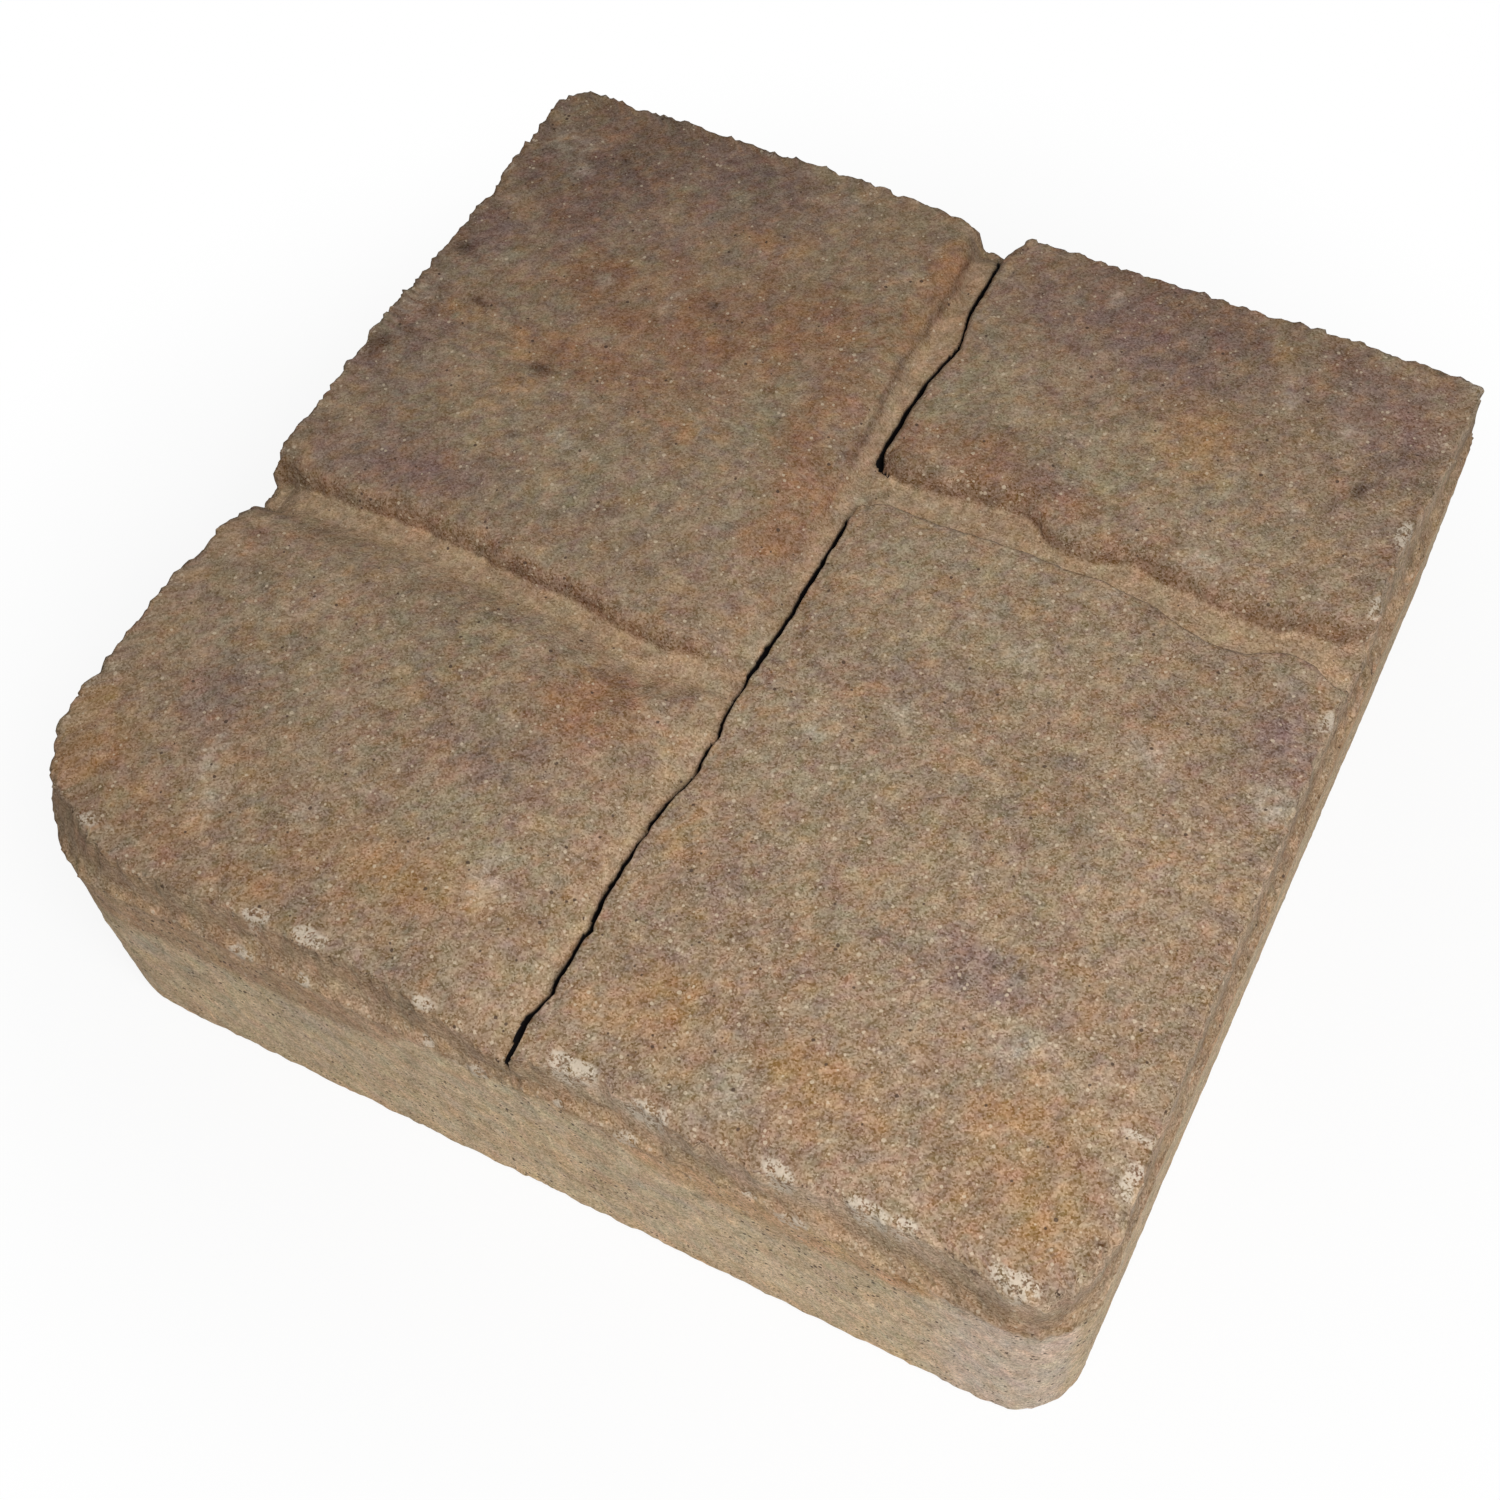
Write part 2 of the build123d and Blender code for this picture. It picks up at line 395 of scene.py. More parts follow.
    # painted shade along the creases: at the foot of the back left cobble's right shoulder and at the front
    # right cobble's back edge
    leftCrease = bell(fromCrease, *show["leftCrease"]) * fade(y, "leftCrease") * (toRight < 0)
    backCrease = show["backCreaseShare"] * bell(beyond, *show["backCrease"]) * (toRight > 0)
    # painted shadow: the crack's near-black colour, on its floor and up to its lip
    dark = np.where(toEdge < joints["crackDark"], crackAndShadow, 0)
    crease = np.maximum(leftCrease, backCrease)
    return depth, {"jointFloor": floorMask, "wall": wall, "crease": crease, "crackAndShadow": dark}


# Wear of the slab's edge. Noise is given as (height, size, seed, octaves).
edgeWear = {
    "smoothing": 12,              # rounds that smooth the rim's line across its corners
    "bays": (0.35, 8, 5, 2),
    "leftBays": 0.25,             # deeper by this on the left
    "insetRange": (0.3, 4.5),
    "rough": [(0.5, 3.2, 6, 2), (0.7, 1.6, 14, 2)],
    "seam": [(0.9, 18, 7, 2), (0.35, 3, 8, 2)],
    "seamGap": 1.2,               # the seam stays this far below the face
    "worn": (12, 9, 2),           # size, seed and octaves of the rounder stretches
    # share of the rim's radius: everywhere, on worn stretches, at the front right corner
    "rounding": (0.65, 0.9, 1.2),
    "frontCrisper": 0.5,          # worn stretches are less round in front
    "rimShare": 0.5,              # the rim's round takes up no more of the bevel than this
    "foot": (1.2, 4, 10, 3, 0.4),    # and smoothness
}


def edgeShape(u, v, faceZ):
    # inset and roughness of the rim, the seam, the rim's round and the worn foot along the slab's edge
    shape, wear = slabShape, edgeWear
    x, y = planPoints(u, v, shape["half"] - shape["skin"])
    edge = np.stack([x, y, 0 * x], 1)
    outer = 0.9999                # of the square's half width

    def unevenness(layers):
        return sum(height * noiseField(edge, *pattern) for height, *pattern in layers)

    sides = (("front", x), ("left", y), ("back", x), ("right", y))
    insets = [lineAt(rims[name], along) for name, along in sides]
    inset = np.select([v < -outer, u < -outer, v > outer], insets[:3], insets[3])
    for k in range(wear["smoothing"]):
        inset = 0.25 * np.roll(inset, 1) + 0.5 * inset + 0.25 * np.roll(inset, -1)
    frontness = fade(y, "frontSide")
    height, *pattern = wear["bays"]
    bays = (height + wear["leftBays"] * fade(x, "leftSide")) * noiseField(edge, *pattern)
    inset = np.clip(inset - shape["rimShift"] * (1 - frontness) + bays, *wear["insetRange"])

    rough = unevenness(wear["rough"])
    seam = rims["seam"] + frontness * (lineAt(rims["frontSeam"], x) - rims["seam"])
    seam = seam + unevenness(wear["seam"])
    seam = np.minimum(seam, faceZ - wear["seamGap"])

    worn = fade(noiseField(edge, *wear["worn"]), "wornRim") * (1 - wear["frontCrisper"] * frontness)
    everywhere, onWorn, atCorner = wear["rounding"]
    radius = shape["rimRound"] * (everywhere + onWorn * worn + atCorner * fade(x - y, "frontRight"))
    radius = np.minimum(radius, wear["rimShare"] * (faceZ - seam))
    foot = np.clip(shape["footRadius"] * (1 + unevenness([wear["foot"]])), *shape["footRange"])
    return {"inset": inset, "rough": rough, "seam": seam, "radius": radius, "foot": foot}


def ringRows(faceZ, inset, rough, seam, radius, foot):
    # (inset, height, part) of each ring below the face
    shape = slabShape
    top = shape["top"] - shape["skin"]

    def bevelInset(height):
        # rough and steep under the rim, then a cove that flares out to a ledge above the seam
        rise = np.clip((height - seam) / (top - seam), 0, 1)
        return np.maximum(inset * lineAt(shape["cove"], rise) + rough * fade(rise, "roughRim"), 0)

    rows = []
    outer, rimEnd = np.maximum(inset + rough, 0), faceZ - radius
    shoulder = faceZ - shape["rimFall"] * radius
    for k in np.linspace(0, 1, shape["rimRows"]):
        start, middle, end = (1 - k) ** 2, 2 * k * (1 - k), k * k
        e = start * (outer + radius) + middle * outer + end * bevelInset(rimEnd)
        h = start * faceZ + middle * shoulder + end * rimEnd
        rows.append((np.minimum(e, shape["gridInset"] - shape["gridGap"]), h, "rim"))
    for k in shape["bevelRows"]:
        h = rimEnd * (1 - k) + seam * k
        rows.append((bevelInset(h), h, "bevel"))
    for k in np.linspace(0, 1, shape["sideRows"] + 1)[1:] ** shape["sideSpread"]:
        rows.append((0 * seam, seam * (1 - k) + foot * k, "side"))
    for angle in np.linspace(0, math.pi / 2, shape["footRows"] + 1)[1:]:
        rows.append((foot * (1 - math.cos(angle)), foot * (1 - math.sin(angle)), "side"))
    return rows


def ringMasks(k, part, above):
    # masks of the ring k, at its heights above the seam
    first, over = slabShape["bevelFade"]
    onBevel = {"rim": min(1, max(0, k - first) / over), "bevel": 1.0, "side": 0.0}
    return {
        "rim": np.full(len(above), float(part == "rim")),
        "bevel": np.full(len(above), onBevel[part]),
        "seamBand": fade(above, "seamFoot") * fade(above, "seamTop") * (part != "rim"),
        "plainSide": fade(above, "plainSide"),
        "lip": np.full(len(above), slabShape["lipRows"].get(k, 0.0)),
    }


def buildSlab():
    shape = slabShape
    half, top = shape["half"] - shape["skin"], shape["top"] - shape["skin"]
    reach = half - shape["gridInset"]
    lineS, lineT = gridLines(shape["mainZones"]), gridLines(shape["crossZones"])
    countS, countT = len(lineS), len(lineT)
    s, t = np.meshgrid(lineS, lineT)
    s, t = s.ravel(), t.ravel()
    x, y = bendGrid(s, t)
    u, v = x / reach, y / reach
    x, y = planPoints(u, v, reach)
    depth, faceParts = faceDepth(s, t, x, y)
    z = top - depth

    # boundary loop of the face grid, and the rings below it
    index = np.arange(countS * countT).reshape(countT, countS)
    loop = np.concatenate([index[0, :-1], index[:-1, -1], index[-1, :0:-1], index[:0:-1, 0]])
    loopU, loopV, loopZ = u[loop], v[loop], z[loop]
    count = len(loop)
    edge = edgeShape(loopU, loopV, loopZ)
    seam = edge["seam"]
    rows = ringRows(loopZ, **edge)

    points = [np.stack([x, y, z], 1)]
    masks = {name: [values] for name, values in faceParts.items()}
    for k, (e, h, part) in enumerate(rows):
        low = np.clip((top - h) / (top - seam), 0, 1)
        rowX, rowY = planPoints(loopU, loopV, half - e, ease(low))
        points.append(np.stack([rowX, rowY, h], 1))
        for name, values in ringMasks(k, part, h - seam).items():
            masks.setdefault(name, [np.zeros(len(x))]).append(values)
        for name, values in faceParts.items():
            end = shape["crackRows"] if name == "crackAndShadow" else shape["faceRows"]
            masks[name].append(values[loop] * max(0, 1 - k / end))
    points = np.concatenate(points)
    masks = {name: np.concatenate(parts) for name, parts in masks.items()}

    a = index[:-1, :-1].ravel()
    faces = [np.stack([a, a + 1, a + countS + 1, a + countS], 1)]
    rings = [loop] + [countS * countT + k * count + np.arange(count) for k in range(len(rows))]
    for upper, lower in zip(rings[:-1], rings[1:]):
        faces.append(np.stack([upper, lower, np.roll(lower, -1), np.roll(upper, -1)], 1))
    faces = np.concatenate(faces).tolist() + [rings[-1][::-1].tolist()]

    mesh = bpy.data.meshes.new("paving_slab_body")
    mesh.from_pydata((points * mm).tolist(), [], faces)
    mesh.update()
    return mesh, points, masks


slabMesh, slabPoints, slabMasks = buildSlab()
triangleCount = sum(len(p.vertices) - 2 for p in slabMesh.polygons)
print("slab mesh", len(slabMesh.vertices), "points,", triangleCount, "triangles")

# Relief along the normals. Noise is given as (height, size, seed, octaves, smoothness).
relief = {
    "swell": (0.3, 34, 11, 2, 0.9),
    "lump": (0.2, 9, 12, 3, 0.9),
    "grit": (0.2, 2.2, 13, 3, 0.4),
    "moreGrit": {"wall": 0.45, "rim": 0.35, "seamBand": 0.5},
}


def addRelief(mesh, points, masks):
    normals = np.zeros(len(points) * 3, np.float32)
    mesh.vertex_normals.foreach_get("vector", normals)
    normals = normals.reshape(-1, 3)
    amount = np.zeros(len(points))
    for name in ("swell", "lump", "grit"):
        height, *pattern = relief[name]
        if name == "grit":
            height = height + sum(more * masks[part] for part, more in relief["moreGrit"].items())
        amount += height * noiseField(points, *pattern)
    free = fade(points[:, 2], "aboveFoot") * (1 - masks["crackAndShadow"])    # the underside stays flat
    moved = points + normals * (amount * free)[:, None]
    half, top = slabShape["half"], slabShape["top"]
    moved[:, :2] = np.clip(moved[:, :2], -half, half)
    moved[:, 2] = np.clip(moved[:, 2], 0, top)
    mesh.vertices.foreach_set("co", (moved * mm).astype(np.float32).ravel())
    mesh.update()
    return moved


slabPoints = addRelief(slabMesh, slabPoints, slabMasks)
print("relief added")

# Broad tones of the face and its smaller stains, as (x, y, half width, half depth) in millimetres
tones = {
    "rust": [(-48, 52, 30, 18), (-62, 37, 22, 8), (-30, 64, 16, 14), (-72, 60, 12, 9),
             (-12, 60, 9, 30), (-6, 22, 9, 24), (-4, 92, 5, 14), (22, 50, 15, 8), (36, 46, 18, 5),
             (-20, -44, 12, 12)],
    "plum": [(-85, 88, 24, 22), (-58, 94, 24, 16), (-101, 58, 10, 18), (-90, -4, 24, 10),
             (-101, 18, 9, 20), (40, 97, 36, 14), (94, 96, 18, 14), (106, 4, 7, 14), (-88, -72, 8, 10),
             (72, -62, 16, 7)],
    # painted shade: the face darker towards the back and the back left
    "umber": [(-96, 92, 30, 24), (-109, 52, 9, 28), (-75, 108, 30, 10), (50, 106, 40, 8)],
    "olive": [(45, 4, 38, 22), (28, -32, 24, 22), (74, -34, 28, 18), (50, -62, 26, 10),
              (-62, -48, 30, 16), (-86, -60, 16, 14), (-40, 4, 28, 12), (-24, 18, 16, 10),
              (52, 58, 30, 12), (78, 50, 18, 9), (-30, -76, 16, 8), (16, 66, 8, 20)],
    "ochre": [(-101, -90, 11, 11), (-84, -99, 16, 8), (-46, -94, 18, 10), (-24, -89, 10, 8),
              (24, -95, 14, 10), (56, -97, 16, 8), (95, -92, 14, 14), (62, 75, 11, 9), (58, 66, 8, 6),
              (-4, 70, 4, 20)],
}
stains = {
    "ochre": [(-34, 29, 9, 4), (-80, 35, 6, 7), (-98, 38, 6, 4), (-28, 52, 3, 7), (-75, 24, 6, 5),
              (-42, 85, 9, 5), (-5, 98, 4, 8), (2, 82, 3, 10), (65, 70, 8, 10), (72, 103, 4, 6),
              (-33, -91, 9, 7), (-19, -91, 6, 5), (-103, -95, 12, 7), (-110, -84, 6, 7),
              (-74, -84, 5, 4), (-58, -105, 9, 5), (12, -61, 7, 6), (13, -98, 6, 6), (27, -90, 7, 6),
              (53, -93, 8, 6), (89, -86, 9, 6), (102, -98, 8, 8), (104, -104, 3, 3)],
    "plum": [(-104, 62, 6, 8), (47, 90, 22, 12), (102, 83, 8, 12), (40, 48, 10, 5), (107, 62, 6, 8),
             (105, 10, 8, 10), (38, -10, 16, 8), (72, -63, 14, 7), (22, -65, 10, 7), (-30, -62, 14, 8),
             (-95, -95, 4, 4), (-53, -102, 6, 6), (-67, 3, 5, 5), (-42, 3, 4, 5), (-17, -3, 4, 6),
             (-80, -7, 14, 5), (-60, 104, 20, 6), (-86, -69, 5, 7)],
    "olive": [(-10, 73, 8, 20), (-97, 52, 14, 9), (-87, 12, 20, 12), (-53, 13, 10, 8),
              (-23, 40, 6, 14), (-33, 17, 9, 6), (22, 20, 12, 8), (18, 62, 8, 16), (50, 58, 14, 10),
              (40, -103, 9, 7), (25, -40, 8, 7), (-45, -35, 12, 8), (-27, -77, 12, 6),
              (-13, -78, 6, 8), (73, 62, 10, 6), (0, -93, 5, 12), (-56, 98, 8, 8)],
    "pale": [(-72.5, 60, 3, 4), (-56, 59, 2.5, 5), (-95, 88, 4, 3), (-102, 96, 6, 5), (-34, 104, 4, 4),
             (-109, 37, 3, 8), (33, 101, 1.5, 4), (91, 87, 2.5, 3), (77, 90, 3, 6), (87, 62, 2.5, 2),
             (77, 42, 6, 3), (42, 13, 4, 5), (44, 28, 2.5, 1.5), (62, 26, 2.5, 2), (52, 5, 3, 4),
             (84, -6, 5, 5), (108, -6, 4, 7), (37, -17, 5, 4), (23, -28, 4, 3), (97, -22, 2, 2),
             (85, -72, 6, 4), (42, -104, 8, 5), (-18, -85, 5, 7), (-58, -87, 3, 4), (-75, -94, 3, 6),
             (-81, -84, 3, 5), (-58, 14, 6, 3)],
    "white": [(-53, -110, 3, 1.4), (-42, -109.5, 4, 1.8), (-15, -111, 2.5, 1.4), (-92, -107, 4, 1.4),
              (15, -110.5, 5, 2.4), (31, -112, 5, 1.8), (57, -112, 4, 1.6), (74, -111.6, 4, 1.8),
              (80, -111, 2.5, 1.6), (101.5, -112, 4.5, 2.2), (110, 66, 1.5, 4), (111, 46, 1.3, 3),
              (111, 16, 1.3, 3), (108.5, -79, 4, 1.2), (112, -87, 1.5, 4)],
    "dark": [(-72.5, 30.3, 4.5, 2.2), (-95.3, 41.7, 3, 1.3), (-108, 54.7, 3, 2), (-110, 21, 3, 4),
             (-46.7, 62.5, 1.5, 1.4), (-87.5, 94.7, 1.5, 1.4), (98.3, 73.3, 1.6, 4),
             (111, -99.4, 1.4, 1.2)],
}
# Marks of the front side, as (x, z, half width, half height)
frontMarks = {
    "white": [(-42.5, 53.6, 1.6, 1.5), (-57, 52.4, 2.6, 1.5), (-4.6, 49.6, 2.6, 2.2),
              (-15, 52.4, 1.2, 1), (15.5, 60.5, 2.2, 1.7), (13.3, 52.8, 1.3, 1.5),
              (26.8, 51.6, 2.8, 2.2), (60.4, 50.6, 3.6, 2.4), (52, 53, 1.6, 1.2)],
    "dark": [(87, 52, 1.6, 0.8), (89.5, 51, 1.4, 0.9), (91.3, 49.5, 1.1, 1), (92.6, 47.8, 1, 1.1),
             (93.4, 46.3, 0.8, 1), (41, 40, 1, 1.4), (51, 42.5, 0.8, 1.2), (24, 42, 0.9, 1.3),
             (39, 48, 1, 0.9), (-62.5, 51.3, 1, 1)],
    "haze": [(-85, 32, 6, 5), (-45, 33, 8, 5), (33, 32, 10, 2.4)],
    "ochre": [(83.6, 48, 4, 3)],
}


def srgb(r, g, b):
    def linear(c):
        c /= 255
        return c / 12.92 if c <= 0.04045 else ((c + 0.055) / 1.055) ** 2.4
    return (linear(r), linear(g), linear(b), 1)


# Colours of the concrete
concrete = {
    "brown": srgb(152, 130, 106),
    "ochre": srgb(174, 130, 82),
    "plum": srgb(126, 101, 98),
    "red": srgb(150, 109, 90),
    "rust": srgb(146, 106, 78),
    # painted shade towards the back
    "umber": srgb(110, 88, 76),
    "olive": srgb(148, 136, 110),
    "pale": srgb(190, 176, 158),
    "white": srgb(214, 201, 182),
    "dark": srgb(80, 60, 50),
    "jointFloor": srgb(174, 147, 117),
    "wall": srgb(128, 98, 75),
    # painted shadow in the crack
    "crackAndShadow": srgb(14, 9, 11),
    "bevel": srgb(171, 143, 114),
    "seam": srgb(180, 149, 117),
    "bevelGrey": srgb(182, 157, 131),
    "side": srgb(210, 186, 153),
    "sideWarm": srgb(206, 176, 138),
    "sideBrown": srgb(184, 151, 120),
    "sideOrange": srgb(202, 162, 122),
    "sideGrey": srgb(216, 194, 174),
    "pit": srgb(76, 58, 47),
    # painted shade in crevices
    "hollowShade": srgb(62, 46, 38),
    "speck": srgb(214, 196, 170),
    "roughness": 0.92,
    "specular": 0.25,
}

# Strength of each colour over what lies below it
cover = {
    "tone": {"rust": 0.75, "plum": 0.5, "umber": 0.5, "olive": 0.34, "ochre": 0.28},
    "stain": {"olive": 0.6, "plum": 0.5, "ochre": 0.45},
    "mottle": {"olive": 0.34, "red": 0.34, "plum": 0.34, "ochre": 0.22},    # scattered over the whole face
    "dark": 0.75,
    "jointFloor": 0.7,
    "wall": 0.6,
    "wallUneven": 0.3,
    "pale": 0.4,
    "bevel": 0.85,
    "seam": 0.5,
    # painted shade along the creases
    "crease": 0.45,
    "bloom": 0.35,                # chalky bloom along the rims
    "creviceShade": 0.5,               # painted shade in the crevices of the rim, away from the front
    "creviceFront": -105,         # in front of this they are full
    "sideWarm": 0.45,
    "sideFoot": 0.7,              # warm again, at the foot of the side
    "sideGrey": 0.8,
    "sideBrown": 0.85,
    "sideOrange": 0.75,
    "frontMarks": {"haze": ("pale", 0.5), "ochre": ("ochre", 0.7), "dark": ("dark", 0.55)},
    # uneven edges of the stains and the broad tones, and how far the front's marks share the first
    "edges": (5, 31, 4, 0.9),
    "toneEdges": (14, 32, 4, 0.5),
    "markEdges": 0.6,
    # light and dark patches, as (strength, size, seed, octaves, smoothness) of their noise
    "shade": [(0.05, 12, 46, 4, 0.35), (0.085, 3.2, 47, 2, 0.35)],
    # small patches lean to red and to yellow
    "hues": [((0.024, -0.012, -0.008), 5.0, 61, 3, 0.1), ((0.012, 0.002, -0.03), 5.0, 62, 3, 0.1)],
}

# Scattered patches: size, seed, octaves and smoothness of their noise, then where they begin in its spread
# and how soon they are full
patches = {
    "olive": (6, 41, 4, 0.15, 0.2, 1.3),
    "red": (4.5, 49, 4, 0.15, 0.2, 1.3),
    "plum": (5, 42, 4, 0.15, 0.2, 1.3),
    "ochre": (5, 43, 4, 0.15, 0.2, 1.3),
    "oliveBreaks": (3.5, 51, 3, 0.35, -1.4, 1.8),    # gaps in the stains
    "plumBreaks": (3.5, 52, 3, 0.35, -1.4, 1.8),
    "ochreBreaks": (3.5, 53, 3, 0.35, -1.4, 1.8),
    "paleBreaks": (2.5, 55, 3, 0.35, -1.2, 1.6),
    "sideWarm": (16, 44, 4, 0.35, -0.2, 1.6),
    "ragged": (3, 45, 3, 0.35, -0.7, 1.4),
    "bloom": (7, 48, 4, 0.35, 1.0, 0.9),
    "creviceShade": (2.6, 56, 3, 0.35, 0.2, 0.6),
}

# Lower edge of the brown stain on the sides: on the front it follows its own line
sideStain = {
    "frontFrom": -110,
    "height": 46,
    "wobble": (3, 30, 57, 2, 0.35),    # height, size, seed, octaves and smoothness
    "softness": 4,
    "uneven": 0.35,
    "level": (0.5, 0.5, 1.6),     # warm patches are wider than high
    "marksTop": 10,               # marks of the front side end at this height above the seam
}

# Places on the slab where the paint changes, as in the fades above
fades.update({
    "onFace": (6, 3),             # heights above the seam
    "greyHigh": (4, 3),
    "onFront": (-106, -4),        # along y
    "warmFoot": (9, -9),          # heights above the underside
    "greyRight": (10, 15),        # along x
    "greyCorner": (84, 12),
    "brownLeft": (12, -20),
    "orangeRight": (-8, 20),
    "sandyFront": (-130, 260),    # along x - y
})

# How coarse the sand is, from 0 to 1: least at the back, more towards the front and on rough parts
sandiness = {"least": 0.65, "front": 0.35, "wall": 0.3, "seamBand": 0.2, "rimGrit": 0.4}


def patchField(across, along, places, wobble):
    # rounded patches with uneven edges
    hold, uneven = 1.3, 0.5
    total = np.zeros(len(across))
    for x, y, rx, ry in places:
        away = np.hypot((across - x) / rx, (along - y) / ry) + uneven * wobble
        total = np.maximum(total, ease(hold - away))
    return total


def evenNoise(points, size, seed, octaves, smooth):
    # noise with a spread of one
    field = noiseField(points, size, seed, octaves, smooth)
    return (field - field.mean()) / field.std()


def patchy(points, name):
    *pattern, start, length = patches[name]
    return ease((evenNoise(points, *pattern) - start) / length)


def blend(colour, name, amount):
    return colour + (np.array(concrete[name]) - colour) * np.clip(amount, 0, 1)[:, None]


def plain(name, count):
    return np.tile(np.array(concrete[name]), (count, 1))


def paintFace(points, masks, stain, tone, wobble):
    x, _, z = points.T
    above = z - rims["seam"]
    colour = plain("brown", len(points))
    for name in tones:
        colour = blend(colour, name, cover["tone"][name] * tone[name])
    for name in cover["mottle"]:
        amount = cover["mottle"][name] * patchy(points, name)
        if name in cover["stain"]:
            stained = cover["stain"][name] * stain[name] * patchy(points, name + "Breaks")
            amount = np.maximum(amount, stained)
        colour = blend(colour, name, amount)
    colour = blend(colour, "dark", cover["dark"] * stain["dark"])
    colour = blend(colour, "jointFloor", cover["jointFloor"] * masks["jointFloor"])
    colour = blend(colour, "wall", (cover["wall"] + cover["wallUneven"] * wobble) * masks["wall"])
    colour = blend(colour, "pale", cover["pale"] * stain["pale"] * patchy(points, "paleBreaks"))
    colour = blend(colour, "bevel", cover["bevel"] * masks["bevel"])
    return blend(colour, "bevelGrey", masks["bevel"] * fade(x, "greyRight") * fade(above, "greyHigh"))


def paintSide(points, mark, onFront, wobble):
    x, y, z = points.T
    edge = sideStain
    side = plain("side", len(points))
    warm = cover["sideWarm"] * patchy(points * edge["level"], "sideWarm")
    side = blend(side, "sideWarm", np.maximum(warm, cover["sideFoot"] * fade(z, "warmFoot")))
    side = blend(side, "sideGrey", cover["sideGrey"] * fade(x, "greyCorner") * onFront)
    height, *pattern = edge["wobble"]
    elsewhere = edge["height"] + height * evenNoise(points, *pattern)
    lowest = np.where(y < edge["frontFrom"], lineAt(rims["frontStain"], x), elsewhere)
    stained = ease((z - lowest) / edge["softness"] + 0.5 + edge["uneven"] * wobble)
    side = blend(side, "sideBrown", cover["sideBrown"] * stained * fade(x, "brownLeft"))
    side = blend(side, "sideOrange", cover["sideOrange"] * stained * fade(x, "orangeRight"))
    for name, (colour, strength) in cover["frontMarks"].items():
        side = blend(side, colour, strength * mark[name])
    return side


def paintSlab(mesh, points, masks):
    x, y, z = points.T
    wobble, broad = noiseField(points, *cover["edges"]), noiseField(points, *cover["toneEdges"])
    onFace = fade(z - rims["seam"], "onFace")
    onFront = fade(y, "onFront") * (z < rims["seam"] + sideStain["marksTop"])
    markWobble = cover["markEdges"] * wobble
    tone = {name: patchField(x, y, places, broad) * onFace for name, places in tones.items()}
    stain = {name: patchField(x, y, places, wobble) * onFace for name, places in stains.items()}
    mark = {name: patchField(x, z, places, markWobble) * onFront for name, places in frontMarks.items()}

    colour = paintFace(points, masks, stain, tone, wobble)
    side = paintSide(points, mark, onFront, wobble)
    colour = colour + (side - colour) * masks["plainSide"][:, None]
    colour = blend(colour, "seam", cover["seam"] * masks["seamBand"] * patchy(points, "ragged"))
    shade = sum(strength * evenNoise(points, *pattern) for strength, *pattern in cover["shade"])
    colour[:, :3] *= np.exp(shade)[:, None]
    for lean, *pattern in cover["hues"]:
        colour[:, :3] *= np.exp(evenNoise(points, *pattern)[:, None] * np.array(lean))
    # painted shade: the creases darkened
    colour = blend(colour, "dark", cover["crease"] * masks["crease"])

    chalk = np.maximum(stain["white"], mark["white"])
    chalk = np.maximum(chalk, cover["bloom"] * patchy(points, "bloom") * masks["rim"])
    # painted shade in the crevices under the rim, full in front
    inFront = np.where(y < cover["creviceFront"], 1, cover["creviceShade"])
    creviceShade = masks["lip"] * patchy(points, "creviceShade") * inFront
    sandy = sandiness["least"] + sandiness["front"] * fade(x - y, "sandyFront")
    sandy = sandy + sandiness["wall"] * masks["wall"] + sandiness["seamBand"] * masks["seamBand"]
    gritty = np.maximum(masks["seamBand"], sandiness["rimGrit"] * masks["rim"])

    layer = mesh.attributes.new("tint", "FLOAT_COLOR", "POINT")
    layer.data.foreach_set("color", colour.astype(np.float32).ravel())
    layers = {"chalk": chalk, "sandy": sandy, "gritty": gritty, "creviceShade": creviceShade, "crackAndShadow": masks["crackAndShadow"],
              "plainSide": masks["plainSide"]}
    for name, values in layers.items():
        layer = mesh.attributes.new(name, "FLOAT", "POINT")
        layer.data.foreach_set("value", np.clip(values, 0, 1).astype(np.float32))


paintSlab(slabMesh, slabPoints, slabMasks)
slabMesh.polygons.foreach_set("use_smooth", np.ones(len(slabMesh.polygons), bool))
pavingSlab = bpy.data.objects.new("paving_slab_cast", slabMesh)
bpy.context.scene.collection.objects.link(pavingSlab)
print("slab painted")


def plug(tree, value, socket):
    if isinstance(value, bpy.types.NodeSocket):
        tree.links.new(value, socket)
    else:
        socket.default_value = value


def mathNode(tree, operation, a, b=0.0, c=0.0):
    node = tree.nodes.new("ShaderNodeMath")
    node.operation = operation
    for value, socket in zip((a, b, c), node.inputs):
        plug(tree, value, socket)
    return node.outputs[0]


def rampNode(tree, value, low, high):
    node = tree.nodes.new("ShaderNodeMapRange")
    node.interpolation_type = "SMOOTHSTEP"
    plug(tree, value, node.inputs["Value"])
    node.inputs["From Min"].default_value = low
    node.inputs["From Max"].default_value = high
    return node.outputs[0]


def mixNode(tree, factor, a, b, blendType="MIX"):
    node = tree.nodes.new("ShaderNodeMix")
    node.data_type = "RGBA"
    node.blend_type = blendType
    plug(tree, factor, node.inputs[0])
    plug(tree, a, node.inputs[6])
    plug(tree, b, node.inputs[7])
    return node.outputs[2]


def noiseNode(tree, place, size, detail, rough):
    node = tree.nodes.new("ShaderNodeTexNoise")
    plug(tree, place, node.inputs["Vector"])
    node.inputs["Scale"].default_value = 1 / size
    node.inputs["Detail"].default_value = detail
    node.inputs["Roughness"].default_value = rough
    return node.outputs[0]


